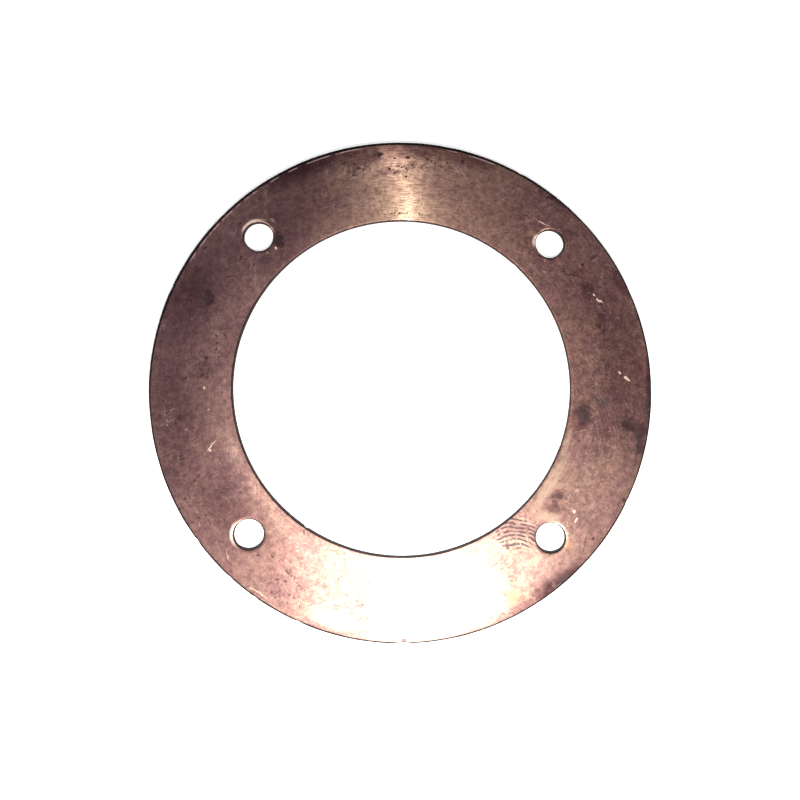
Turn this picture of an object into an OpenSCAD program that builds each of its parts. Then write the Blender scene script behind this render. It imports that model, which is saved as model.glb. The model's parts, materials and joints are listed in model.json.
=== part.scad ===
// Flat ring washer, blanked from one sheet of copper, with screw holes around its face.
// Frame: millimetres, +Z up. The ring stands on Z = 0, its bore axis is the Z axis,
// and the four screw holes lie on the diagonals between +X, +Y, -X and -Y.

/* [Ring] */
// Diameter of the central bore
bore_d = 39; // [20:0.5:120]
// Width of the ring, from the wall of the bore to the outer edge
ring_w = 9.5; // [7:0.1:20]
// Thickness of the sheet
thickness = 0.6; // [0.45:0.05:3]

/* [Screw holes] */
// Number of screw holes
hole_count = 4; // [2:1:8]
// Distance from the wall of the bore to the centre of each screw hole
hole_from_bore = 4.7; // [2.2:0.1:7.2]
// Diameter of each hole, the medium clearance size for an M3 screw
hole_d = 3.4; // [2:0.1:8]
// Angle of the first hole from +X, in degrees
first_hole_angle = 45; // [0:1:90]

/* [Edges] */
// Radius of the rounding that blanking leaves on the upper edges
die_roll_r = 0.12; // [0.05:0.01:0.2]
// Leg of the bevel where the burr was taken off the lower edges
burr_bevel = 0.05; // [0.02:0.01:0.1]
// Width of the dished rim around each hole, on the upper face
hole_rim_w = 0.28; // [0.1:0.02:0.4]
// Depth of that rim at the wall of the hole
hole_rim_depth = 0.07; // [0.03:0.01:0.15]

/* [Hidden] */
$fn = 180;
bore_r = bore_d / 2;
outer_r = bore_r + ring_w;
hole_circle_r = bore_r + hole_from_bore;
hole_r = hole_d / 2;
// How far a cutting tool runs past the faces that it cuts
overshoot = 1;

// Half of the ring's cross-section, drawn in X (radius) and Y (height).
// The two upper corners are arcs and the two lower corners are bevels.
module ring_section() {
    flank_top = thickness - die_roll_r;
    // Body below the rounded corners
    polygon([
        [bore_r + burr_bevel, 0],
        [outer_r - burr_bevel, 0],
        [outer_r, burr_bevel],
        [outer_r, flank_top],
        [bore_r, flank_top],
        [bore_r, burr_bevel]
    ]);
    // Band between the rounded corners, up to the upper face
    translate([bore_r + die_roll_r, burr_bevel])
        square([ring_w - 2 * die_roll_r, thickness - burr_bevel]);
    // Rounded corners
    for (corner_r = [bore_r + die_roll_r, outer_r - die_roll_r])
        translate([corner_r, flank_top])
            circle(r = die_roll_r);
}

// The plain ring, before the screw holes are drilled.
module ring_blank() {
    rotate_extrude()
        ring_section();
}

// What one screw hole takes out: the drill, the dished rim above and the bevel below.
module hole_cut() {
    rim_slope = hole_rim_w / hole_rim_depth;
    translate([0, 0, -overshoot])
        cylinder(r = hole_r, h = thickness + 2 * overshoot);
    // The rim opens upwards at rim_slope, so that it has its full width at the upper face
    translate([0, 0, thickness - hole_rim_depth])
        cylinder(
            r1 = hole_r,
            r2 = hole_r + (hole_rim_depth + overshoot) * rim_slope,
            h = hole_rim_depth + overshoot
        );
    // The bevel opens downwards at 45 degrees
    translate([0, 0, -overshoot])
        cylinder(
            r1 = hole_r + burr_bevel + overshoot,
            r2 = hole_r,
            h = burr_bevel + overshoot
        );
}

// The finished washer.
module washer_ring() {
    color("#8a5f55")
        difference() {
            ring_blank();
            for (i = [0 : hole_count - 1])
                rotate([0, 0, first_hole_angle + i * 360 / hole_count])
                    translate([hole_circle_r, 0, 0])
                        hole_cut();
        }
}

washer_ring();
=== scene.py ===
"""Looks of the copper ring washer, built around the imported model.

Lengths are in millimetres until a mesh, light or camera is made, where MM turns them into metres.
Angles around the ring are in degrees, counterclockwise from +X, seen from above. Colours are linear.
"""

import json
import math

import bpy
import numpy as np
from mathutils import Matrix, Vector, noise


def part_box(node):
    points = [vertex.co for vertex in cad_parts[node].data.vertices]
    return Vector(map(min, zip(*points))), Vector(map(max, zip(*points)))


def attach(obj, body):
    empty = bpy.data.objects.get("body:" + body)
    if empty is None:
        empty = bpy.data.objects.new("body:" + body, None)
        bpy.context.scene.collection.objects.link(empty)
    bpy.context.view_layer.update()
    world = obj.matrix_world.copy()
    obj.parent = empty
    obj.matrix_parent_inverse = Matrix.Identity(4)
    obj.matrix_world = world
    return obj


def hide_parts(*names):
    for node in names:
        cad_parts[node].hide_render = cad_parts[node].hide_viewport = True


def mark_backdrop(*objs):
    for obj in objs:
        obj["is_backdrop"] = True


MM = 0.001

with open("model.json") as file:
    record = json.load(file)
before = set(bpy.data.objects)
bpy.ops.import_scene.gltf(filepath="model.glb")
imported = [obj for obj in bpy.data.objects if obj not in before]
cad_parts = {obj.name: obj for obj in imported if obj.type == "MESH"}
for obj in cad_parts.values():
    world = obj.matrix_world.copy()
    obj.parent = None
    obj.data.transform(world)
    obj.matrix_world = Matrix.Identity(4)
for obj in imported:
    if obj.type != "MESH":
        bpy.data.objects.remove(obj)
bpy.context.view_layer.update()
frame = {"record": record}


# ---------------- sizes, from the frame

def mount_dims(name):
    """Dimensions of one of the record's mounts, in millimetres."""
    for mount in frame["record"]["mounts"]:
        if mount["name"] == name:
            return mount["dims"]
    raise ValueError(name)


NODE = "washer_ring"
BOX_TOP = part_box(NODE)[1]
OUTER_R = round(BOX_TOP.y / MM, 3)
THICKNESS = round(BOX_TOP.z / MM, 3)
BORE_R = mount_dims("bore")["r_mm"]
HOLE_CIRCLE_R = mount_dims("screw_holes")["pcd_mm"] / 2
HOLE_R = mount_dims("screw_holes")["hole_r_mm"]
HOLE_COUNT = mount_dims("screw_holes")["count"]
FIRST_HOLE_ANGLE = 45.0

# Shapes of the edges, as in the design
DIE_ROLL = 0.12
BURR_BEVEL = 0.05
HOLE_RIM_W = 0.28
HOLE_RIM_DEPTH = 0.07


# ---------------- grid that both faces share

ANGULAR_CELLS = 760     # cells once around the ring
RADIAL_CELLS = 46       # cells from the bore to the outer edge
WINDOW_HALF = 23        # angular cells on each side of a screw hole that its fan of cells takes
FAN_LAYERS = 14         # rings of cells from that window's outline to the rim of the hole
FAN_GRADING = 0.85      # under 1 draws the rings together towards the rim

CELL_ANGLE = 360.0 / ANGULAR_CELLS
HOLE_ANGLES = [FIRST_HOLE_ANGLE + i * 360.0 / HOLE_COUNT for i in range(HOLE_COUNT)]
HOLE_COLUMNS = [round(angle / CELL_ANGLE) for angle in HOLE_ANGLES]


def on_circle(radius, angle):
    """X and Y of a point at this radius and angle."""
    return np.array([radius * math.cos(math.radians(angle)), radius * math.sin(math.radians(angle))])


class FaceGrid:
    """An all-quad grid of the ring's face: a polar grid, with a fan of cells around each hole."""

    def __init__(self):
        self.polar = {}
        self.quads = []
        for column in range(ANGULAR_CELLS):
            if not self.in_window(column):
                for row in range(RADIAL_CELLS):
                    self.quads.append(self.polar_quad(column, row))
        outlines = [
            [self.polar_id(*place) for place in self.window_outline(column)]
            for column in HOLE_COLUMNS
        ]
        self.count = len(self.polar)
        self.fans = [self.fan(outline) for outline in outlines]

    @staticmethod
    def in_window(column):
        return any(c - WINDOW_HALF <= column < c + WINDOW_HALF for c in HOLE_COLUMNS)

    @staticmethod
    def window_outline(column):
        """Places (column, row) once around a hole's window, counterclockwise from above."""
        low, high = column - WINDOW_HALF, column + WINDOW_HALF
        return (
            [(low, row) for row in range(RADIAL_CELLS)]
            + [(c, RADIAL_CELLS) for c in range(low, high)]
            + [(high, row) for row in range(RADIAL_CELLS, 0, -1)]
            + [(c, 0) for c in range(high, low, -1)]
        )

    def polar_id(self, column, row):
        return self.polar.setdefault((column % ANGULAR_CELLS, row), len(self.polar))

    def polar_quad(self, column, row):
        corners = ((column, row), (column, row + 1), (column + 1, row + 1), (column + 1, row))
        return [self.polar_id(*corner) for corner in corners]

    def fan(self, outline):
        """Adds the cells around one hole. Returns their vertices, one row for each ring."""
        rings = [outline]
        for _ in range(FAN_LAYERS):
            rings.append(list(range(self.count, self.count + len(outline))))
            self.count += len(outline)
        for outside, inside in zip(rings, rings[1:]):
            for k in range(len(outline)):
                after = (k + 1) % len(outline)
                self.quads.append([outside[k], outside[after], inside[after], inside[k]])
        return np.array(rings)

    def circle(self, row):
        """Vertices once around the bore, for row 0, or around the outer edge, for the last row."""
        return np.array([self.polar[(column, row)] for column in range(ANGULAR_CELLS)])

    def points(self, inner_r, outer_r, rim_r):
        """X and Y of every vertex, between these radii of the face and around holes of rim_r."""
        xy = np.zeros((self.count, 2))
        for (column, row), i in self.polar.items():
            radius = inner_r + (outer_r - inner_r) * row / RADIAL_CELLS
            xy[i] = on_circle(radius, column * CELL_ANGLE)
        for angle, rings in zip(HOLE_ANGLES, self.fans):
            centre = on_circle(HOLE_CIRCLE_R, angle)
            outline = xy[rings[0]]
            spokes = outline - centre
            rim = centre + rim_r * spokes / np.linalg.norm(spokes, axis=1)[:, None]
            for layer in range(1, FAN_LAYERS + 1):
                share = (layer / FAN_LAYERS) ** FAN_GRADING
                xy[rings[layer]] = outline + (rim - outline) * share
        return xy


# ---------------- edges between the faces

# Steps down each stretch of an edge's profile
ARC_STEPS = 4
WALL_STEPS = 3
RIM_STEPS = 3
# Above 1, the dished rim of a hole steepens towards the wall
RIM_STEEPENING = 1.4


def wall_profile(top_z):
    """(offset from the wall, height) down a straight wall, from below top_z to the bevel."""
    drop = top_z - BURR_BEVEL
    return [(0.0, top_z - drop * i / WALL_STEPS) for i in range(1, WALL_STEPS + 1)]


def blanked_profile():
    """Down a blanked edge: the rounding that the die leaves, then the wall."""
    profile = []
    for i in range(1, ARC_STEPS + 1):
        turn = math.pi / 2 * i / ARC_STEPS
        inset = DIE_ROLL * (1 - math.sin(turn))
        drop = DIE_ROLL * (1 - math.cos(turn))
        profile.append((inset, THICKNESS - drop))
    return profile + wall_profile(THICKNESS - DIE_ROLL)


def hole_profile():
    """Down a screw hole: the dished rim, which steepens towards the wall, then the wall."""
    profile = []
    for i in range(1, RIM_STEPS + 1):
        share = i / RIM_STEPS
        inset = HOLE_RIM_W * (1 - share)
        drop = HOLE_RIM_DEPTH * share ** RIM_STEEPENING
        profile.append((inset, THICKNESS - drop))
    return profile + wall_profile(THICKNESS - HOLE_RIM_DEPTH)


# ---------------- relief

def smooth(value, low, high):
    """0 below low, 1 above high, and a smooth rise between them."""
    share = np.clip((value - low) / (high - low), 0, 1)
    return share * share * (3 - 2 * share)


def bump_at(xy, angle, radius, length, width):
    """A round-topped bump of height 1, with this length along the ring and width across it."""
    along = math.radians(angle + 90)
    offset = xy - on_circle(radius, angle)
    u = offset[:, 0] * math.cos(along) + offset[:, 1] * math.sin(along)
    v = -offset[:, 0] * math.sin(along) + offset[:, 1] * math.cos(along)
    return np.exp(-((u / (length / 2)) ** 2) - (v / (width / 2)) ** 2)


def nick_at(angles, radius, angle, length, depth):
    """How far a nick reaches into an edge of this radius, at each of the angles."""
    along = np.radians((angles - angle + 180) % 360 - 180) * radius
    return depth * np.exp(-((along / (length / 2)) ** 2))


def waves(xy, size, seed):
    """Smooth noise from 0 to 1 whose bumps are about size across."""
    values = [noise.noise(Vector((x / size, y / size, seed))) for x, y in xy]
    return np.clip(0.5 + np.array(values) * 0.7, 0, 1)


# How far the waves press each face into the sheet at most, and the share of it by which the
# upper face drops everywhere
TOP_RELIEF = 0.03
TOP_LEAST = 0.45
UNDER_RELIEF = 0.02
# How far the waves of each edge reach into it
OUTER_WAVINESS = 0.035
BORE_WAVINESS = 0.015
# Size and seed of the waves
TOP_WAVES = (11.0, 3.1)
UNDER_WAVES = (9.0, 8.7)
OUTER_WAVES = (2.2, 5.5)
BORE_WAVES = (2.6, 9.5)
# Raised lip beside the outer edge: the direction that it faces, the cosines from that direction
# between which it rises, and where it starts and ends across the ring, as distances from the edge
LIP_SIDE = 110
LIP_COSINES = (0.3, 0.75)
LIP_START = (0.75, 0.38)
LIP_END = (0.3, 0.1)
# Share of the relief that lips and burrs are spared
SPARED = 0.9
# Distances from an edge at which its wear starts and is full
WEAR_REACH = (0.5, 0.05)

# Dents in the upper face: angle, radius, length, width, depth
DENTS = [
    (96.5, 27.6, 0.7, 0.6, 0.03), (76, 27.7, 0.6, 0.5, 0.02), (142.5, 24.0, 0.6, 0.5, 0.02),
    (173, 22.8, 0.7, 0.6, 0.03), (-171, 25.7, 0.7, 0.6, 0.03), (-161, 26.4, 0.7, 0.6, 0.02),
    (-121.5, 27.5, 0.6, 0.6, 0.02), (-118, 25.0, 0.7, 0.5, 0.02), (-9, 26.5, 1.0, 1.0, 0.02),
    (-52, 28.0, 1.4, 1.0, 0.02), (35, 25.6, 0.6, 0.5, 0.02),
]
# Places on the upper face that stand at full height: angle, radius, length, width
BURRS = [
    (133.5, 21.7, 0.8, 0.5), (2.5, 26.2, 1.0, 0.6), (-160.5, 23.1, 0.6, 0.5), (-30, 23.3, 0.6, 0.6),
]
# Nicks in the outer edge, and in the edge of the bore: angle, length, depth
OUTER_NICKS = [
    (-142, 0.6, 0.08), (-131, 0.5, 0.06), (-124, 0.6, 0.07), (-113, 0.6, 0.09),
    (-89, 0.8, 0.15), (-26.5, 0.5, 0.06), (62, 0.7, 0.07), (158, 0.6, 0.06),
]
BORE_NICKS = [(-123, 0.5, 0.12), (48, 0.6, 0.05)]


def top_drop(xy, angles, radii):
    """How far the upper face lies below its place in the design, at each point."""
    drop = TOP_RELIEF * (TOP_LEAST + (1 - TOP_LEAST) * waves(xy, *TOP_WAVES))
    from_edge = OUTER_R - radii
    lip = smooth(from_edge, *LIP_START) * (1 - smooth(from_edge, *LIP_END))
    lip = lip * smooth(np.cos(np.radians(angles - LIP_SIDE)), *LIP_COSINES)
    drop = drop * (1 - SPARED * lip)
    for burr in BURRS:
        drop = drop * (1 - SPARED * bump_at(xy, *burr))
    for *dent, depth in DENTS:
        drop = drop + depth * bump_at(xy, *dent)
    return drop


def edge_wear(xy, angles, radius, waviness, edge_waves, nicks):
    """How far an edge of this radius is worn into the ring, at each point's angle."""
    wear = waviness * waves(xy, *edge_waves)
    for nick in nicks:
        wear = wear + nick_at(angles, radius, *nick)
    return wear


def relieve(points):
    """Presses the waves, dents and nicks of a handled sheet into the flat model."""
    xy = points[:, :2]
    angles = np.degrees(np.arctan2(points[:, 1], points[:, 0]))
    radii = np.linalg.norm(xy, axis=1)
    height = points[:, 2] / THICKNESS
    rise = UNDER_RELIEF * waves(xy, *UNDER_WAVES)
    points[:, 2] += rise * (1 - height) - top_drop(xy, angles, radii) * height
    inward = edge_wear(xy, angles, OUTER_R, OUTER_WAVINESS, OUTER_WAVES, OUTER_NICKS)
    inward = inward * smooth(OUTER_R - radii, *WEAR_REACH)
    outward = edge_wear(xy, angles, BORE_R, BORE_WAVINESS, BORE_WAVES, BORE_NICKS)
    outward = outward * smooth(radii - BORE_R, *WEAR_REACH)
    points[:, :2] *= ((radii - inward + outward) / radii)[:, None]
    return points


# ---------------- map of the surface

# Side of the square map of the surface, and the gap between strips, in texels
MAP_SIZE = 1024
MAP_MARGIN = 4
# Strips that each surface is cut into, and the height of a strip
TOP_STRIPS, TOP_STRIP_HEIGHT = 3, 204
UNDER_STRIPS, UNDER_STRIP_HEIGHT = 2, 138
EDGE_STRIPS, EDGE_STRIP_HEIGHT = 2, 15
HOLE_STRIP_HEIGHT = 20


class MapRows:
    """Stacks the strips of the unrolled ring in the square map, from the bottom up."""

    def __init__(self):
        self.next = MAP_MARGIN

    def add(self, height):
        """Takes a row of this height. Returns its lower and upper edge, from 0 to 1."""
        low = self.next
        self.next += height + MAP_MARGIN
        if self.next > MAP_SIZE:
            raise ValueError(f"the map needs {self.next} texels")
        return low / MAP_SIZE, (low + height) / MAP_SIZE


def across(share):
    """Place across the map, from 0 to 1 between its margins."""
    return (MAP_MARGIN + share * (MAP_SIZE - 2 * MAP_MARGIN)) / MAP_SIZE


def map_face(quads, xy, rows, inner_r, outer_r):
    """Map places of a face's corners. The face is cut into as many sectors as there are rows."""
    corners = xy[quads]
    angles = np.degrees(np.arctan2(corners[:, :, 1], corners[:, :, 0]))
    middle = corners.mean(1)
    middle = np.degrees(np.arctan2(middle[:, 1], middle[:, 0]))[:, None]
    angles = middle % 360 + (angles - middle + 180) % 360 - 180
    sector = 360.0 / len(rows)
    index = (middle % 360 // sector).astype(int)
    # The grid's columns miss the cuts by up to a cell, so each sector is drawn one cell longer
    u = across((angles - index * sector + CELL_ANGLE) / (sector + 2 * CELL_ANGLE))
    lows = np.array([row[0] for row in rows])[index]
    highs = np.array([row[1] for row in rows])[index]
    radii = np.linalg.norm(corners, axis=2)
    v = lows + (highs - lows) * (radii - inner_r) / (outer_r - inner_r)
    return np.stack([u, v], 2)


# ---------------- the ring

class RingMesh:
    """Gathers the vertices, quads and map places of the washer, one surface after another."""

    def __init__(self):
        self.grid = FaceGrid()
        self.points = []
        self.count = 0
        self.quads = []
        self.places = []
        self.rows = MapRows()

    def add_points(self, xy, z):
        """Adds vertices at one height. Returns the number of the first."""
        start = self.count
        self.points.append(np.column_stack([xy, np.full(len(xy), z)]))
        self.count += len(xy)
        return start

    def add_face(self, xy, z, rows, inner_r, outer_r, flip):
        """Adds the grid's quads at one height. Returns the number of the first vertex."""
        start = self.add_points(xy, z)
        quads = np.array(self.grid.quads)
        places = map_face(quads, xy, rows, inner_r, outer_r)
        if flip:
            quads, places = quads[:, ::-1], places[:, ::-1]
        self.quads.append(quads + start)
        self.places.append(places)
        return start

    def add_edge(self, top, under, centre, edge_r, side, profile, spans, flip):
        """Joins the loops top and under by rings that follow a profile.

        side is 1 where the material lies outside edge_r, as at a bore, and -1 where inside.
        spans are (row, left, right) of the map strips that the loop's length is cut into.
        """
        all_points = np.concatenate(self.points)
        direction = all_points[top][:, :2] - centre
        direction /= np.linalg.norm(direction, axis=1)[:, None]
        rings = [top]
        for offset, z in profile:
            start = self.add_points(centre + direction * (edge_r + side * offset), z)
            rings.append(np.arange(start, start + len(top)))
        rings.append(under)
        count = len(top)
        columns = np.arange(count)
        after = (columns + 1) % count
        per_span = count // len(spans)
        span = np.minimum(columns // per_span, len(spans) - 1)
        lefts = np.array([s[1] for s in spans])[span]
        rights = np.array([s[2] for s in spans])[span]
        lows = np.array([s[0][0] for s in spans])[span]
        highs = np.array([s[0][1] for s in spans])[span]
        share = (columns - span * per_span) / per_span
        share_after = (columns + 1 - span * per_span) / per_span
        u, u_after = lefts + (rights - lefts) * share, lefts + (rights - lefts) * share_after
        for i, (high, low) in enumerate(zip(rings, rings[1:])):
            quads = np.stack([high[columns], low[columns], low[after], high[after]], 1)
            v_high = highs - (highs - lows) * i / (len(rings) - 1)
            v_low = highs - (highs - lows) * (i + 1) / (len(rings) - 1)
            places = np.stack([
                np.stack([u, v_high], 1),
                np.stack([u, v_low], 1),
                np.stack([u_after, v_low], 1),
                np.stack([u_after, v_high], 1),
            ], 1)
            if flip:
                quads, places = quads[:, ::-1], places[:, ::-1]
            self.quads.append(quads)
            self.places.append(places)

    def build(self):
        """Vertices, quads and map places of the finished washer."""
        grid, rows = self.grid, self.rows
        top_xy = grid.points(BORE_R + DIE_ROLL, OUTER_R - DIE_ROLL, HOLE_R + HOLE_RIM_W)
        under_xy = grid.points(BORE_R + BURR_BEVEL, OUTER_R - BURR_BEVEL, HOLE_R + BURR_BEVEL)
        top_rows = [rows.add(TOP_STRIP_HEIGHT) for _ in range(TOP_STRIPS)]
        under_rows = [rows.add(UNDER_STRIP_HEIGHT) for _ in range(UNDER_STRIPS)]
        top = self.add_face(top_xy, THICKNESS, top_rows, BORE_R + DIE_ROLL, OUTER_R - DIE_ROLL, False)
        under = self.add_face(under_xy, 0.0, under_rows, BORE_R + BURR_BEVEL, OUTER_R - BURR_BEVEL, True)
        middle = np.zeros(2)
        for row, edge_r, side, flip in ((RADIAL_CELLS, OUTER_R, -1, False), (0, BORE_R, 1, True)):
            loop = grid.circle(row)
            spans = [(rows.add(EDGE_STRIP_HEIGHT), across(0), across(1)) for _ in range(EDGE_STRIPS)]
            self.add_edge(top + loop, under + loop, middle, edge_r, side, blanked_profile(), spans, flip)
        hole_row = rows.add(HOLE_STRIP_HEIGHT)
        gap = MAP_MARGIN / MAP_SIZE
        for i, (angle, fan) in enumerate(zip(HOLE_ANGLES, grid.fans)):
            centre = on_circle(HOLE_CIRCLE_R, angle)
            spans = [(hole_row, across(i / HOLE_COUNT) + gap, across((i + 1) / HOLE_COUNT) - gap)]
            rim = fan[-1]
            self.add_edge(top + rim, under + rim, centre, HOLE_R, 1, hole_profile(), spans, True)
        points = relieve(np.concatenate(self.points))
        return points, np.concatenate(self.quads), np.concatenate(self.places)


def make_ring():
    """The washer as one closed, smooth-shaded mesh."""
    points, quads, places = RingMesh().build()
    mesh = bpy.data.meshes.new("copper_ring")
    mesh.from_pydata((points * MM).tolist(), [], quads.tolist())
    layer = mesh.uv_layers.new(name="OFBake")
    layer.data.foreach_set("uv", places.reshape(-1).astype(np.float32))
    mesh.polygons.foreach_set("use_smooth", [True] * len(mesh.polygons))
    mesh.update()
    ring = bpy.data.objects.new("copper_ring", mesh)
    bpy.context.scene.collection.objects.link(ring)
    return ring


# ---------------- nodes of a material

class Shade:
    """Adds nodes to one material. An input is a number, a tuple or another node's output."""

    def __init__(self, name):
        self.material = bpy.data.materials.new(name)
        self.material.use_nodes = True
        self.tree = self.material.node_tree
        self.tree.nodes.clear()

    def node(self, kind, inputs=(), output=0, **settings):
        """Adds a node. Returns the output of this number or name, if the node has outputs."""
        made = self.tree.nodes.new(kind)
        for key, value in settings.items():
            setattr(made, key, value)
        pairs = inputs.items() if isinstance(inputs, dict) else enumerate(inputs)
        for key, value in pairs:
            if isinstance(value, bpy.types.NodeSocket):
                self.tree.links.new(value, made.inputs[key])
            elif value is not None:
                made.inputs[key].default_value = value
        return made.outputs[output] if made.outputs else None

    def math(self, operation, a, b=None, c=None, clamp=False):
        return self.node("ShaderNodeMath", [a, b, c], operation=operation, use_clamp=clamp)

    def times(self, first, *others):
        """Product of numbers."""
        for other in others:
            first = self.math("MULTIPLY", first, other)
        return first

    def greatest(self, first, *others):
        """The greatest of numbers."""
        for other in others:
            first = self.math("MAXIMUM", first, other)
        return first

    def away(self, value, middle):
        """How far a number lies from the middle."""
        return self.math("ABSOLUTE", self.math("SUBTRACT", value, middle))

    def rise(self, value, low, high, start=0.0, end=1.0):
        """From start at low to end at high, smoothly."""
        return self.node(
            "ShaderNodeMapRange",
            {"Value": value, "From Min": low, "From Max": high, "To Min": start, "To Max": end},
            interpolation_type="SMOOTHSTEP",
        )

    def vector(self, operation, a, b=None, output=0):
        return self.node("ShaderNodeVectorMath", [a, b], output, operation=operation)

    def scaled(self, vector, factor):
        result = self.vector("SCALE", vector)
        result.node.inputs["Scale"].default_value = factor
        return result

    def split(self, vector):
        """X, Y and Z of a vector."""
        return tuple(self.node("ShaderNodeSeparateXYZ", [vector]).node.outputs)

    def framed(self, place, centre, turn, scale):
        """A place as seen in a frame at this centre, turned about Z and with axes this long."""
        return self.node(
            "ShaderNodeMapping",
            {
                "Vector": place,
                "Location": (*centre, 0.0),
                "Rotation": (0.0, 0.0, math.radians(turn)),
                "Scale": scale,
            },
            vector_type="TEXTURE",
        )

    def noise(self, place, scale=1.0, detail=2.0, rough=0.5, distortion=0.0, output=0):
        settings = {"Scale": scale, "Detail": detail, "Roughness": rough, "Distortion": distortion}
        return self.node("ShaderNodeTexNoise", {"Vector": place, **settings}, output)

    def cover(self, colour, layer, mask, strength):
        """The colour under a layer that has this strength where the mask is 1."""
        return self.mix(self.times(mask, strength), colour, layer)

    def mix_value(self, factor, a, b):
        return self.node("ShaderNodeMix", {0: factor, 2: a, 3: b}, data_type="FLOAT")

    def mix(self, factor, a, b, blend="MIX"):
        """Colours a and b mixed."""
        made = self.tree.nodes.new("ShaderNodeMix")
        made.data_type = "RGBA"
        made.blend_type = blend
        for socket, value in zip((made.inputs[0], made.inputs[6], made.inputs[7]), (factor, a, b)):
            if isinstance(value, bpy.types.NodeSocket):
                self.tree.links.new(value, socket)
            elif isinstance(value, tuple):
                socket.default_value = (*value, 1.0)
            else:
                socket.default_value = value
        return made.outputs[2]


# ---------------- colours and marks of the ring

# Layers of the oxide
OXIDE_RED = (0.42, 0.190, 0.190)
OXIDE_TAN = (0.57, 0.300, 0.240)
OXIDE_OLIVE = (0.46, 0.258, 0.215)
OXIDE_PLUM = (0.44, 0.170, 0.205)
OXIDE_DARK = (0.25, 0.120, 0.130)
OXIDE_PALE = (0.72, 0.410, 0.330)
OXIDE_UMBER = (0.22, 0.105, 0.110)
PALE_FLECK = (0.80, 0.480, 0.410)
DARK_FLECK = (0.19, 0.085, 0.080)
# Painted highlight: the pale cream of the key light's reflection, on the side of -Y
KEY_SIDE_HIGHLIGHT = (0.56, 0.400, 0.340)
COOL_OXIDE = (0.40, 0.235, 0.255)
# What lies on it, and the painted shade of the edges; the cream tint is partly painted highlight
GRIME = (0.125, 0.100, 0.105)
FINGER_GREASE = (0.13, 0.085, 0.110)
ORANGE_TINT = (0.80, 0.440, 0.250)
CREAM_TINT_AND_HIGHLIGHT = (0.90, 0.660, 0.500)
DARK_MARK = (0.11, 0.060, 0.056)
EDGE_SHADE = (0.020, 0.017, 0.018)
PATCHY_EDGE_SHADE = (0.22, 0.130, 0.110)
# Metal that shows through, and the painted glints on the hole rims and painted highlight on the lip
SCRATCHED_METAL = (0.97, 0.740, 0.600)
RIM_GLINT_COLOUR = (1.0, 0.800, 0.680)
LIP_HIGHLIGHT = (0.80, 0.600, 0.540)
CLEAN_COPPER = (1.0, 0.740, 0.500)

# Marks on the upper face: angle, radius, length along the ring, width across it, and turn in
# degrees from the tangent
DARK_SPOTS = [
    # Top
    (96.5, 27.6, 0.8, 0.6, 0), (90, 24.8, 0.35, 0.35, 0), (93, 27.0, 0.35, 0.3, 0),
    (89.5, 27.1, 0.45, 0.4, 0), (68.5, 26.6, 0.35, 0.35, 0), (76, 27.7, 0.6, 0.45, 0),
    (93, 25.2, 0.6, 0.25, 10), (94.5, 25.7, 0.4, 0.3, 0), (91, 25.9, 0.35, 0.2, 0),
    (102.5, 26.3, 0.5, 0.4, 0), (105.5, 27.2, 0.6, 0.4, 20), (104, 25.6, 0.4, 0.3, 0),
    # Upper left
    (136, 26.9, 0.45, 0.4, 0), (142.5, 24.0, 0.55, 0.4, 0), (142, 23.4, 0.3, 0.3, 0),
    (146, 27.9, 0.5, 0.35, 0), (156, 24.9, 0.8, 0.5, 30), (157.5, 24.2, 0.6, 0.4, -20),
    (155.5, 24.1, 0.35, 0.3, 0), (159, 26.2, 0.45, 0.4, 0), (148.5, 23.6, 1.3, 0.16, -50),
    (134, 20.7, 1.6, 0.12, 30), (136.9, 22.6, 2.4, 0.36, -27),
    # Left
    (173, 22.8, 0.7, 0.65, 0), (175, 23.4, 0.4, 0.4, 0), (178, 23.0, 0.75, 0.4, -45),
    (179, 24.8, 0.35, 0.35, 0), (168, 21.8, 0.55, 0.25, -60), (170, 21.8, 0.5, 0.22, -60),
    (166, 22.1, 0.3, 0.3, 0), (165, 21.2, 0.4, 0.35, 0), (172, 21.3, 0.4, 0.35, 0),
    (-171, 25.7, 0.75, 0.6, 0), (-169.5, 26.2, 0.4, 0.4, 0), (-161, 26.4, 0.8, 0.65, 0),
    # Lower left
    (-154.5, 25.9, 2.8, 0.14, -67), (-151.5, 27.6, 0.4, 0.4, 0), (-145.5, 26.6, 0.3, 0.3, 0),
    (-146, 28.3, 0.35, 0.35, 0), (-146, 27.4, 0.35, 0.35, 0), (-129.5, 25.1, 0.4, 0.4, 0),
    (-126.5, 24.3, 0.4, 0.35, 0), (-118.5, 24.9, 0.8, 0.4, -62), (-120, 24.8, 1.9, 0.2, -19),
    (-115.9, 25.4, 1.5, 0.26, -16), (-122, 26.0, 0.5, 0.5, 0), (-121.5, 27.5, 0.4, 0.4, 0),
    (-117.5, 26.7, 0.5, 0.5, 0), (-120, 27.7, 0.35, 0.35, 0), (-114, 27.4, 0.35, 0.35, 0),
    (-120, 25.7, 0.35, 0.35, 0), (-123, 20.1, 1.0, 0.2, -57),
    # Bottom
    (-89, 28.65, 1.0, 0.6, 0), (-88.5, 23.2, 0.25, 0.25, 0), (-99.5, 25.1, 0.3, 0.3, 0),
    # Lower right
    (-26.5, 28.6, 0.6, 0.6, 0), (-40.5, 27.6, 1.6, 0.14, 25), (-39, 27.2, 1.0, 0.12, 35),
    (-38, 27.9, 0.4, 0.4, 0), (-16.5, 21.2, 0.35, 0.35, 0), (-17.5, 23.7, 0.35, 0.35, 0),
    (-56.5, 22.0, 0.5, 0.4, 0),
    # Right
    (1, 27.3, 1.2, 0.16, 69), (-9, 26.3, 0.8, 1.3, 0), (-9.5, 27.1, 0.6, 0.8, 20),
    # Upper right
    (43.2, 22.6, 2.6, 0.36, 27), (34.5, 23.7, 2.0, 0.22, 55), (35, 25.6, 0.5, 0.45, 0),
    (36.5, 23.2, 0.9, 0.2, 50),
]
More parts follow.
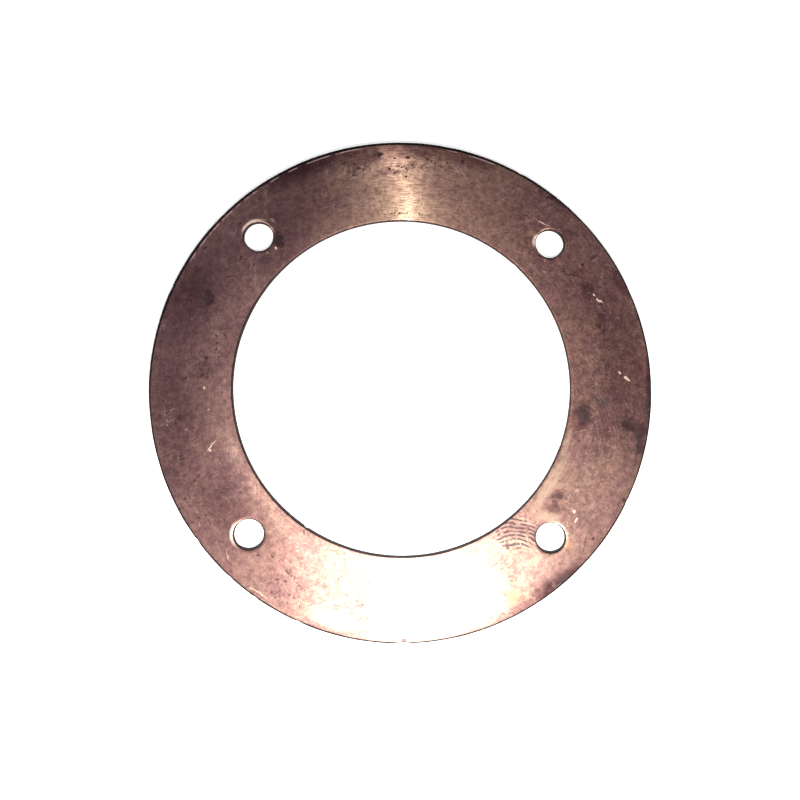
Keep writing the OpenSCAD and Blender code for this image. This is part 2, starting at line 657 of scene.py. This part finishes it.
# Spots and scratches where bare metal shows fully, and faintly
BRIGHT_SPOTS = [
    (-161.5, 22.8, 1.9, 0.15, -57), (-160.5, 23.1, 0.4, 0.32, 0), (-35.5, 24.3, 0.45, 0.35, 0),
    (-37, 25.1, 0.75, 0.26, 17), (4.5, 25.3, 0.4, 0.3, 0), (2.8, 26.1, 1.1, 0.42, 48),
    (50, 25.5, 2.2, 0.11, 16), (-109, 26.2, 4.6, 0.16, 30), (-124, 28.3, 2.8, 0.14, 0),
    (133.7, 21.8, 0.5, 0.34, 50), (-178.5, 22.7, 0.34, 0.3, 0),
    (26.5, 24.9, 0.4, 0.3, 0), (24.5, 25.2, 1.1, 0.24, 42),
]
FAINT_SPOTS = [
    # Upper left
    (142.5, 22.5, 1.8, 0.13, 37), (142.5, 21.9, 1.0, 0.12, 37), (136.5, 22.1, 0.5, 0.3, 0),
    # Left
    (-173, 26.4, 0.8, 0.16, -52), (-172, 27.2, 0.28, 0.28, 0), (-170.5, 27.1, 0.5, 0.22, 0),
    (-169.5, 27.1, 0.28, 0.28, 0), (-167.5, 25.1, 0.3, 0.3, 0), (-172, 22.3, 0.5, 0.4, 0),
    # Lower left
    (-144.5, 27.8, 1.2, 0.15, -36), (-126, 28.4, 0.45, 0.35, 0), (-135, 27.4, 2.0, 0.2, -30),
    # Lower right
    (-72.5, 19.8, 0.45, 0.4, 0), (-30, 23.3, 0.8, 0.6, 0),
    # Right
    (-5.5, 26.7, 0.35, 0.35, 0), (-13, 21.6, 3.4, 0.12, -67), (3.5, 22.0, 0.9, 0.12, 30),
    (1.5, 22.5, 0.8, 0.12, 25),
    # Upper right
    (54, 25.2, 2.2, 0.12, 6), (42.5, 22.3, 0.4, 0.3, 0), (40, 21.4, 0.35, 0.3, 0),
]
# Sides of the screw holes whose dished rims carry a painted glint
RIM_GLINTS = [
    (134.4, 25.9, 3.6, 3.2, 0), (48.6, 23.2, 2.4, 2.0, 0), (-137.6, 25.2, 4.8, 3.2, 0),
]
# Patches where the oxide is tinted orange and cream. The cream patches from the bottom to the lower
# right are painted highlight, paling the key light's reflection
ORANGE_SPOTS = [
    (35, 25.2, 0.5, 0.45, 0), (-43, 26.3, 1.3, 0.9, 20), (51, 23.6, 1.5, 1.0, 20),
    (-104, 20.4, 3.0, 0.6, 0), (-47, 25.6, 1.2, 0.7, 60),
    (-62, 27.0, 3.2, 1.8, 10),
]
CREAM_TINTS_AND_HIGHLIGHTS = [
    (132, 25.7, 2.6, 0.4, -42), (129, 24.6, 1.0, 0.5, -80), (-41, 22.4, 3.6, 1.3, -49),
    (-52, 24.9, 2.4, 1.2, -10), (-100, 21.0, 6.0, 1.2, 0), (-58, 25.8, 2.0, 1.0, 20),
    (-69, 27.4, 8.0, 2.8, 0), (-106, 27.4, 8.0, 2.6, 0), (-64, 24.4, 5.0, 3.0, 0),
    (-32, 20.3, 10.0, 1.6, 0), (-19, 20.0, 5.0, 0.9, 0),
]
# Smudges of grey grime
GREY_SPOTS = [
    (-7.5, 21.1, 3.0, 2.6, 0), (-3.5, 22.8, 3.4, 1.6, 50), (-9, 26.5, 1.8, 2.0, 0),
    (-12, 28.0, 5.0, 2.0, 14), (-4, 28.7, 9.0, 1.0, 0), (132, 22.7, 1.6, 2.6, 0),
    (-35, 22.0, 2.6, 1.6, -54), (-50, 28.9, 8.0, 1.6, 0), (157, 24.6, 2.4, 2.0, 30),
]
# Places with clusters of small brown freckles
FRECKLED = [
    (103, 26.9, 7.0, 4.6, 0), (90.5, 26.3, 4.4, 4.4, 0), (83, 26.8, 6.0, 4.0, 0),
    (-119, 26.2, 7.0, 5.6, 0), (176, 23.2, 5.0, 4.0, 0), (157, 24.4, 4.4, 3.4, 0),
    (20, 24.8, 12, 5.0, 0), (3, 24.4, 8.0, 4.4, 0), (35, 24.2, 5.0, 3.4, 0), (-54, 22.0, 6.0, 3.0, 0),
    (-63, 24.8, 6.0, 4.6, 0), (-64, 28.0, 9.0, 1.8, 0), (-8, 26.8, 4.0, 4.0, 0),
    (-150, 27.0, 8.0, 4.0, 0), (-36, 22.6, 3.4, 3.4, 0),
]
# Soft zones that are darker or lighter than the rest, with the factor at their middle. The lighter
# zones below the bore and along its lower left are painted highlight, spreading the key light's
# reflection
ZONES = [
    # Top
    (113, 28.8, 22, 6.0, 0, 0.30), (90, 29.2, 16, 6.0, 0, 0.30), (75, 28.8, 14, 5.0, 0, 0.46),
    # Left
    (122, 25.0, 20, 14, 0, 0.66), (136, 21.0, 12, 5.0, 0, 0.72), (150, 26.0, 16, 11, 0, 0.76),
    (161, 27.0, 16, 9.0, 0, 0.66), (165, 20.8, 14, 3.6, 0, 0.85), (-172, 26.5, 22, 7.5, 0, 0.72),
    (-170, 20.0, 16, 2.6, 0, 1.15), (-144, 24.4, 12, 6.5, 0, 0.75), (-144, 20.0, 28, 3.0, 0, 1.30),
    # Bottom: the lighter zones are painted highlight
    (-111, 24.0, 14, 10, 0, 1.30), (-92, 28.2, 7.0, 0.7, 0, 0.85), (-78, 24.0, 18, 13, 0, 1.60),
    (-57, 24.0, 20, 11, 0, 1.70), (-50, 28.8, 9.0, 3.2, 0, 0.34),
    # Right
    (-28, 25.0, 16, 12, 0, 1.30), (-9, 20.8, 6.5, 3.4, 0, 0.70), (0, 28.8, 12.0, 1.5, 0, 0.50),
    (4, 26.0, 18, 7.0, 0, 0.80), (16, 20.8, 18, 3.6, 0, 0.88), (24, 25.6, 20, 8.0, 0, 0.88),
    (50, 28.4, 12, 3.0, 0, 0.90),
]
# Stains with a torn outline, given like the zones
STAINS = [
    # Top
    (104, 26.6, 2.6, 2.4, 0, 0.70), (100.5, 28.0, 6.0, 3.4, 0, 0.58), (98.5, 27.0, 3.0, 1.6, 0, 0.72),
    (96, 25.6, 1.6, 1.2, 0, 0.75), (93, 25.3, 1.6, 1.1, 0, 0.62), (88, 26.4, 1.4, 1.0, 0, 0.72),
    (85.5, 27.6, 2.6, 1.3, 0, 0.70),
    # Left
    (131.6, 22.7, 1.9, 2.8, 0, 0.42), (156.5, 24.5, 2.4, 1.8, 20, 0.62),
    (177, 22.8, 2.6, 1.9, 0, 0.78),
    # Lower right
    (-61, 28.4, 5.0, 1.4, 0, 0.75), (-60, 22.2, 3.0, 1.6, -40, 0.85), (-55, 27.8, 4.0, 2.2, 0, 0.60),
    (-51, 21.0, 4.6, 2.6, -40, 0.68), (-38, 22.4, 2.0, 1.5, 0, 0.66), (-34.2, 21.9, 2.4, 1.5, -54, 0.60),
    # Right
    (-11.5, 28.3, 4.6, 2.0, 10, 0.55), (-9, 26.6, 1.9, 2.6, 0, 0.60), (-8.5, 21.2, 4.0, 2.4, 0, 0.66),
    (19, 24.5, 3.2, 1.6, 0, 0.66), (26, 28.6, 5.2, 2.4, 0, 0.62), (29, 24.4, 2.6, 1.8, 20, 0.62),
    (44, 26.6, 2.0, 1.6, 0, 0.85), (53, 28.7, 5.4, 1.5, 0, 0.55),
]
# Brightness of the lower face, and its dark spots and scratches
UNDER_TONE = 0.8
UNDER_SPOTS = [
    (20, 23.0, 1.2, 0.7, 30), (75, 26.4, 0.7, 0.6, 0), (118, 22.1, 1.8, 0.2, 40),
    (160, 25.0, 0.8, 0.7, 0), (-150, 21.8, 2.6, 0.18, -35), (-120, 26.6, 0.6, 0.5, 0),
    (-75, 23.4, 1.4, 1.0, 15), (-20, 26.9, 0.5, 0.5, 0), (100, 24.5, 0.5, 0.4, 0),
]

# Finger prints: a mark, how far its ridges bow at 1 mm from their middle, and its strength
RIDGE_PERIOD = 0.46
PRINTS = [
    (-51, 21.3, 7.0, 4.4, -42, 0.10, 0.95),
    (-63, 23.9, 5.6, 4.2, 15, 0.0, 0.45),
    (-7, 24.6, 8.5, 8.0, 25, -0.05, 0.40),
]

# Bands of painted shade along the edges, standing for cast shadow and shaded walls: width, what it
# gains on its wide side, the direction of that side, and the cosines from that direction between
# which it widens
OUTER_SHADE = (0.23, 0.15, 112, 0.20, 0.75)
BORE_SHADE = (0.07, 0.12, 192, 0.40, 0.85)
SHADE_BLUR = 0.05
# Where the painted highlight of the raised lip and the painted glints of the hole rims lie, as distances
# from the edge
LIP_LINE = 0.47
RIM_LINE = 0.27

# The brushed metal shows through as two lobes, the whole grain and its straightest lines:
# roughness and anisotropy of each
BRUSHED_LOBES = [(0.40, 0.66), (0.28, 0.84)]
STRAIGHT_SHARE = 0.36
GRAIN_DEPTH = 0.0036

# Length that stands for no limit
FAR = 1000.0


# ---------------- material of the ring

class CopperShade(Shade):
    """Copper sheet under a handled brown oxide: its coordinates, its grain and its layers."""

    def __init__(self, name):
        super().__init__(name)
        self.position = self.scaled(self.node("ShaderNodeTexCoord", output="Object"), 1 / MM)
        x, y, z = self.split(self.position)
        self.radius = self.math("SQRT", self.math("ADD", self.times(x, x), self.times(y, y)))
        self.heading = self.vector("NORMALIZE", self.node("ShaderNodeCombineXYZ", [x, y, 0.0]))
        self.depth = self.math("ADD", self.radius, z)
        self.upper = self.rise(z, THICKNESS - 0.10, THICKNESS - 0.04)
        self.under = self.rise(z, 0.06, 0.03)
        self.wall = self.math("SUBTRACT", self.math("SUBTRACT", 1.0, self.upper), self.under)
        self.ragged = self.shaken(self.position, 2.4, 0.5)
        self.torn = self.shaken(self.ragged, 0.6, 2.2)
        self.streaks = self.grain(4.0, 0.26)
        self.fine = self.grain(1.0, 0.10)
        self.patches = self.field(0.55, detail=5.0, rough=0.7, distortion=0.4)

    # Places and noises

    def field(self, scale, offset=None, **settings):
        """Noise over the surface. An offset gives a field of its own."""
        place = self.vector("ADD", self.position, offset) if offset else self.position
        return self.noise(place, scale=scale, **settings)

    def grain(self, length, width):
        """Noise drawn out around the ring: streaks of this length and width."""
        around = self.scaled(self.heading, HOLE_CIRCLE_R / length)
        outward = self.math("DIVIDE", self.depth, width)
        outward = self.node("ShaderNodeCombineXYZ", [0.0, 0.0, outward])
        return self.noise(self.vector("ADD", around, outward))

    def hairlines(self, turn, length, spacing, width):
        """Long thin scratches in one direction, broken into stretches."""
        drawn_out = self.framed(self.position, (0.0, 0.0), turn, (length, spacing, 1.0))
        line = self.rise(self.away(self.noise(drawn_out, detail=1.0), 0.5), width, width * 0.3)
        stretches = self.field(0.35, offset=(turn, 7.0, 0.0), detail=1.0)
        return self.times(line, self.rise(stretches, 0.57, 0.66))

    def facing(self, angle, low, high, strength=1.0):
        """Rises from 0 to strength as the ring's direction nears this angle. The cosine of the
        angle between them is low where it starts and high where it ends."""
        toward = self.vector("DOT_PRODUCT", self.heading, (*on_circle(1.0, angle), 0.0), output=1)
        return self.rise(toward, low, high, 0.0, strength)

    def shaken(self, place, scale, amount):
        """The place moved about by noise, so that outlines drawn on it come out uneven."""
        shift = self.field(scale, detail=3.0, rough=0.6, output="Color")
        shift = self.vector("SUBTRACT", shift, (0.5, 0.5, 0.5))
        return self.vector("ADD", self.scaled(shift, amount), place)

    def within(self, mark, place):
        """The place as seen in one mark's frame, where its outline is the circle of radius 1."""
        angle, radius, length, width, turn = mark
        centre = on_circle(radius, angle)
        return self.framed(place, centre, angle + 90 + turn, (length / 2, width / 2, FAR))

    def nearness(self, mark, place):
        """1 at the middle of a mark, falling evenly to 0 on its outline."""
        spot = self.within(mark, place)
        return self.node("ShaderNodeTexGradient", [spot], output=1, gradient_type="SPHERICAL")

    def nearest(self, marks, place):
        """The greatest nearness to any of these marks."""
        value = self.nearness(marks[0], place)
        for mark in marks[1:]:
            value = self.greatest(value, self.nearness(mark, place))
        return value

    def from_holes(self):
        """Distance from the wall of the nearest screw hole, up to HOLE_R away from it."""
        reach = 2 * HOLE_R
        holes = [(angle, HOLE_CIRCLE_R, 2 * reach, 2 * reach, 0) for angle in HOLE_ANGLES]
        return self.math("SUBTRACT", HOLE_R, self.times(self.nearest(holes, self.position), reach))

    # Layers of the colour, from the lowest up

    def oxide(self):
        """Brown oxide, mottled by noises of several sizes."""
        clouds = self.field(0.16, detail=4.0, rough=0.6)
        hues = self.field(0.22, offset=(31.0, 0.0, 0.0), detail=4.0, rough=0.65)
        speckle = self.field(2.9, detail=3.0, rough=0.7)
        flecks = self.field(3.6, offset=(0.0, 57.0, 0.0), detail=2.0, rough=0.6)
        colour = self.mix(self.rise(clouds, 0.38, 0.62), OXIDE_RED, OXIDE_TAN)
        # Noise, the values of it at which the layer starts and is full, strength, colour
        layers = [
            (hues, 0.50, 0.66, 0.60, OXIDE_OLIVE),
            (hues, 0.48, 0.32, 0.65, OXIDE_PLUM),
            (self.patches, 0.50, 0.66, 0.60, OXIDE_DARK),
            (self.streaks, 0.46, 0.70, 0.40, OXIDE_PALE),
            (self.fine, 0.56, 0.36, 0.45, OXIDE_UMBER),
            (flecks, 0.56, 0.68, 0.65, PALE_FLECK),
            (speckle, 0.54, 0.66, 0.75, DARK_FLECK),
        ]
        for source, start, full, strength, layer in layers:
            colour = self.mix(self.rise(source, start, full, 0.0, strength), colour, layer)
        # Painted highlight: paler and creamier on the side of -Y, where the key light's reflection
        # falls. Cooler on the side of -X
        colour = self.mix(self.facing(-80, 0.1, 0.9, 0.30), colour, KEY_SIDE_HIGHLIGHT)
        return self.mix(self.facing(168, 0.2, 0.95, 0.40), colour, COOL_OXIDE)

    def shades(self):
        """Colour to multiply by: the zones and stains of the upper face, and mottle all over. The
        lighter zones below the bore and the lightening near the bore are painted highlight.
        """
        tone = 1.0
        for marks, place, blur in ((ZONES, self.position, 0.75), (STAINS, self.torn, 0.5)):
            for *mark, factor in marks:
                near = self.rise(self.nearness(mark, place), 0.0, blur, 1.0, factor)
                tone = self.times(tone, near)
        tone = self.mix_value(self.upper, UNDER_TONE, tone)
        # Painted highlight: lighter near the bore, darker further out
        tone = self.times(tone, self.rise(self.radius, BORE_R + 0.8, BORE_R + 4.0, 1.12, 0.88))
        mottle = self.field(1.35, offset=(0.0, -23.0, 0.0), detail=5.0, rough=0.8)
        tone = self.times(tone, self.rise(mottle, 0.34, 0.66, 0.76, 1.26))
        # Dark zones turn purple and light ones creamy, because green changes most
        green = self.math("POWER", tone, 1.18)
        blue = self.math("POWER", tone, 1.02)
        return self.node("ShaderNodeCombineColor", [tone, green, blue])

    def with_grime(self, colour):
        """The colour under smudges of grey grime."""
        grime = self.rise(self.nearest(GREY_SPOTS, self.torn), 0.0, 0.7, 0.0, 0.5)
        return self.mix(self.times(grime, self.upper), colour, GRIME)

    def with_prints(self, colour):
        """The colour under the ridges that fingers left, which wander and are broken."""
        wander = self.rise(self.field(0.6, detail=1.0), 0.2, 0.8, -0.16, 0.16)
        broken = self.rise(self.field(1.7, detail=2.0, rough=0.7), 0.36, 0.50)
        for *mark, bend, strength in PRINTS:
            angle, radius, _, _, turn = mark
            # The frame of a mark 2 mm long and wide counts in millimetres
            spot = self.within((angle, radius, 2.0, 2.0, turn), self.position)
            along, over, _ = self.split(spot)
            over = self.math("ADD", over, self.times(along, along, bend))
            phase = self.times(self.math("ADD", over, wander), 2 * math.pi / RIDGE_PERIOD)
            ridges = self.rise(self.math("SINE", phase), -0.4, 0.6)
            inside = self.rise(self.nearness(mark, self.torn), 0.0, 0.35)
            grease = self.times(ridges, inside, broken, self.upper, strength)
            colour = self.mix(grease, colour, FINGER_GREASE)
        return colour

    def with_tints(self, colour):
        """The colour with its orange and cream patches, some of the cream ones painted highlight."""
        for marks, tint in ((ORANGE_SPOTS, ORANGE_TINT), (CREAM_TINTS_AND_HIGHLIGHTS, CREAM_TINT_AND_HIGHLIGHT)):
            near = self.rise(self.nearest(marks, self.ragged), 0.0, 0.6, 0.0, 0.6)
            colour = self.mix(self.times(near, self.upper), colour, tint)
        return colour

    def dark_marks(self):
        """1 on the dark spots, scratches and freckles of both faces."""
        on_top = self.times(self.rise(self.nearest(DARK_SPOTS, self.ragged), 0.0, 0.35), self.upper)
        below = self.times(self.rise(self.nearest(UNDER_SPOTS, self.ragged), 0.0, 0.4), self.under)
        # A row of beads along the bore, on the side of +Y
        beads = self.rise(self.away(self.radius, BORE_R + 0.85), 0.22, 0.08)
        beads = self.times(beads, self.facing(91, 0.980, 0.992))
        beads = self.times(beads, self.rise(self.field(3.4, detail=1.0), 0.52, 0.60, 0.0, 0.8))
        freckles = self.rise(self.field(2.7, detail=2.0, rough=0.65), 0.54, 0.62)
        freckled = self.rise(self.nearest(FRECKLED, self.ragged), 0.0, 0.6, 0.0, 0.75)
        small = self.times(self.greatest(beads, self.times(freckles, freckled)), self.upper)
        return self.greatest(on_top, small, below)

    def bright_marks(self):
        """Spots and scratches of bare metal on the upper face, and hairlines on both faces."""
        lines = self.greatest(
            self.hairlines(28, 9.0, 0.8, 0.016),
            self.hairlines(-52, 7.0, 0.9, 0.014),
            self.hairlines(84, 8.0, 0.8, 0.014),
        )
        strong = self.rise(self.nearest(BRIGHT_SPOTS, self.ragged), 0.0, 0.35, 0.0, 0.9)
        faint = self.rise(self.nearest(FAINT_SPOTS, self.ragged), 0.0, 0.6, 0.0, 0.36)
        spots = self.times(self.greatest(strong, faint), self.upper)
        return self.greatest(spots, self.times(lines, 0.16))

    def shade_band(self, distance, width, gain, side, low, high):
        """1 along an edge, at distances up to the width of its band of painted shade."""
        band = self.math("MULTIPLY_ADD", self.facing(side, low, high), gain, width)
        return self.rise(self.math("SUBTRACT", distance, band), SHADE_BLUR, -SHADE_BLUR)

    def edge_shade(self, from_outer, from_hole):
        """1 on the walls, painted near-black as dark oxide and as shade, and in the painted shade along
        the edges and round the holes.
        """
        outer = self.shade_band(from_outer, *OUTER_SHADE)
        bore = self.shade_band(self.math("SUBTRACT", self.radius, BORE_R), *BORE_SHADE)
        return self.greatest(outer, bore, self.rise(from_hole, 0.13, 0.05), self.wall)

    def shade_colour(self):
        """Colour of the painted shade along the edges, paler in patches."""
        patchy = self.rise(self.field(1.3, detail=3.0, rough=0.65), 0.52, 0.70, 0.0, 0.35)
        return self.mix(patchy, EDGE_SHADE, PATCHY_EDGE_SHADE)

    def rim_glints(self, from_hole):
        """1 on the dished rims of the screw holes, where a glint is painted."""
        glint = self.rise(self.away(from_hole, RIM_LINE), 0.22, 0.08)
        glint = self.times(glint, self.rise(self.nearest(RIM_GLINTS, self.ragged), 0.05, 0.7))
        return self.times(glint, self.upper, self.rise(self.patches, 0.36, 0.58, 0.4, 1.0))

    def lip_highlight(self, from_outer):
        """1 on the raised lip beside the outer edge, in the places where a highlight is painted."""
        lip = self.rise(self.away(from_outer, LIP_LINE), 0.09, 0.02)
        lip = self.times(lip, self.facing(LIP_SIDE, 0.64, 0.80))
        lip = self.times(lip, self.rise(self.field(0.8, detail=2.0), 0.40, 0.54))
        # No highlight is painted where the ring crosses +Y
        beside = self.math("SUBTRACT", self.upper, self.facing(90, 0.975, 0.990), clamp=True)
        return self.times(lip, beside)

    # Shaders

    def brushing(self):
        """How far the brushing wanders off the circle, in turns: most towards the edges."""
        drift = self.rise(self.field(0.14, detail=2.0), 0.2, 0.8, -0.0012, 0.0012)
        return self.math("ADD", drift, self.rise(self.radius, BORE_R, OUTER_R, 0.0020, -0.0029))

    def brushed_metal(self, colour, surface):
        """Gloss of the brushed metal, drawn out across the brushing."""
        drift = self.brushing()
        lobes = []
        for roughness, anisotropy in BRUSHED_LOBES:
            look = {"Color": colour, "Roughness": roughness, "Anisotropy": anisotropy}
            inputs = {**look, "Rotation": drift, **surface}
            lobes.append(self.node("ShaderNodeBsdfAnisotropic", inputs, distribution="GGX"))
        return self.node("ShaderNodeMixShader", [STRAIGHT_SHARE, *lobes])


def copper_material():
    """Brushed copper sheet under a handled brown oxide, worn, spotted and stained, with painted shade
    and highlights.
    """
    s = CopperShade("copper")
    colour = s.oxide()
    shades = s.shades()
    colour = s.mix(1.0, colour, shades, "MULTIPLY")
    colour = s.with_grime(colour)
    colour = s.with_prints(colour)
    colour = s.with_tints(colour)
    dark = s.dark_marks()
    colour = s.cover(colour, DARK_MARK, dark, strength=0.84)
    bright = s.bright_marks()
    colour = s.mix(bright, colour, SCRATCHED_METAL)
    from_outer = s.math("SUBTRACT", OUTER_R, s.radius)
    from_hole = s.from_holes()
    edge_shade_mask = s.edge_shade(from_outer, from_hole)
    colour = s.cover(colour, s.shade_colour(), edge_shade_mask, strength=0.93)
    glint = s.rim_glints(from_hole)
    colour = s.cover(colour, RIM_GLINT_COLOUR, glint, strength=0.8)
    lip = s.lip_highlight(from_outer)
    colour = s.cover(colour, LIP_HIGHLIGHT, lip, strength=0.5)

    height = s.math("ADD", s.times(s.fine, 0.7), s.times(s.streaks, 0.25))
    bump = {"Height": height, "Distance": GRAIN_DEPTH * MM, "Strength": 1.0}
    surface = {
        "Normal": s.node("ShaderNodeBump", bump),
        "Tangent": s.node("ShaderNodeTangent", direction_type="RADIAL", axis="Z"),
    }
    scratches_and_highlights = s.greatest(bright, lip, glint)
    roughness = s.rise(s.fine, 0.35, 0.65, 0.60, 0.50)
    oxide = s.node(
        "ShaderNodeBsdfPrincipled",
        {
            "Base Color": colour,
            "Metallic": s.math("MULTIPLY_ADD", scratches_and_highlights, -0.5, 1.0),
            "Roughness": s.math("ADD", roughness, s.times(edge_shade_mask, 0.1)),
            "Anisotropic": 0.2,
            "Anisotropic Rotation": 0.25,
            **surface,
        },
    )
    metal = s.mix(0.6, colour, s.mix(1.0, CLEAN_COPPER, shades, "MULTIPLY"))
    brushed = s.brushed_metal(metal, surface)
    # The metal shows most on the crests of the grain, and not under the painted edge shade and dark
    # marks
    bare = s.rise(s.fine, 0.3, 0.7, 0.14, 0.38)
    free_of_shade_and_marks = s.math("SUBTRACT", 1.0, s.greatest(edge_shade_mask, dark))
    shader = s.node("ShaderNodeMixShader", [s.times(bare, free_of_shade_and_marks), oxide, brushed])
    s.node("ShaderNodeOutputMaterial", [shader])
    return s.material


# ---------------- studio

# World: height of the direction looked in, and its colour
HORIZON = (0.15, (0.36, 0.37, 0.40, 1.0))
OVERHEAD = (0.75, (0.15, 0.155, 0.18, 1.0))

FLOOR_HALF = 600.0
FLOOR_GREY = (0.9, 0.9, 0.9, 1.0)
FLOOR_ROUGHNESS = 0.9

# The camera stands almost over the middle of the bore, a little towards -Y. Roll in degrees
CAMERA_PLACE = (-1.94, -6.02, 65.3)
CAMERA_TARGET = (-0.32, -1.67, 0.6)
CAMERA_ROLL = 0.87
CAMERA_LENS = 25.4
CAMERA_SENSOR = 36.0
CAMERA_NEAR = 2.0
CAMERA_FAR = 10000.0


def floor_material():
    s = Shade("floor")
    look = {"Base Color": FLOOR_GREY, "Roughness": FLOOR_ROUGHNESS}
    s.node("ShaderNodeOutputMaterial", [s.node("ShaderNodeBsdfPrincipled", look)])
    return s.material


def make_floor():
    half = FLOOR_HALF * MM
    mesh = bpy.data.meshes.new("floor")
    corners = [(-half, -half, 0), (half, -half, 0), (half, half, 0), (-half, half, 0)]
    mesh.from_pydata(corners, [], [(0, 1, 2, 3)])
    mesh.materials.append(floor_material())
    floor = bpy.data.objects.new("floor", mesh)
    bpy.context.scene.collection.objects.link(floor)
    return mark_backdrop(floor)


def make_light(name, place, target, size, watts, colour):
    """A round area light at place, pointed at target. Both and the size are in millimetres."""
    light = bpy.data.lights.new(name, "AREA")
    light.shape = "DISK"
    light.size = size * MM
    light.energy = watts
    light.color = colour
    lamp = bpy.data.objects.new(name, light)
    bpy.context.scene.collection.objects.link(lamp)
    lamp.visible_camera = False
    lamp.location = Vector(place) * MM
    lamp.rotation_euler = (Vector(target) - Vector(place)).to_track_quat("-Z", "Y").to_euler()
    return lamp


def make_world():
    """Soft surroundings: darker overhead than at the horizon."""
    world = bpy.data.worlds.new("studio")
    world.use_nodes = True
    tree = world.node_tree
    tree.nodes.clear()
    coordinates = tree.nodes.new("ShaderNodeTexCoord")
    split = tree.nodes.new("ShaderNodeSeparateXYZ")
    ramp = tree.nodes.new("ShaderNodeValToRGB")
    background = tree.nodes.new("ShaderNodeBackground")
    output = tree.nodes.new("ShaderNodeOutputWorld")
    for element, (height, colour) in zip(ramp.color_ramp.elements, (HORIZON, OVERHEAD)):
        element.position = height
        element.color = colour
    tree.links.new(coordinates.outputs["Generated"], split.inputs[0])
    tree.links.new(split.outputs["Z"], ramp.inputs[0])
    tree.links.new(ramp.outputs[0], background.inputs[0])
    tree.links.new(background.outputs[0], output.inputs[0])
    bpy.context.scene.world = world


def make_camera():
    camera = bpy.data.cameras.new("camera")
    camera.lens = CAMERA_LENS
    camera.sensor_width = CAMERA_SENSOR
    camera.clip_start = CAMERA_NEAR * MM
    camera.clip_end = CAMERA_FAR * MM
    holder = bpy.data.objects.new("camera", camera)
    bpy.context.scene.collection.objects.link(holder)
    back = (Vector(CAMERA_PLACE) - Vector(CAMERA_TARGET)).normalized()
    right = Vector((0, 1, 0)).cross(back).normalized()
    up = back.cross(right)
    turn = Matrix((right, up, back)).transposed() @ Matrix.Rotation(math.radians(CAMERA_ROLL), 3, "Z")
    holder.matrix_world = Matrix.Translation(Vector(CAMERA_PLACE) * MM) @ turn.to_4x4()
    bpy.context.scene.camera = holder


# ---------------- scene

ring = make_ring()
ring.data.materials.append(copper_material())
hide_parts(NODE)
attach(ring, "root")

make_floor()
make_world()
make_light("key", place=(3, -40, 62), target=(0, -8, 0), size=4, watts=0.085, colour=(1.0, 0.96, 0.90))
wash = make_light("wash", place=(20, -230, 700), target=(0, 20, 0), size=60, watts=4.6, colour=(1, 1, 1))
wash.visible_glossy = False
make_camera()
bpy.context.scene.view_settings.view_transform = "Standard"
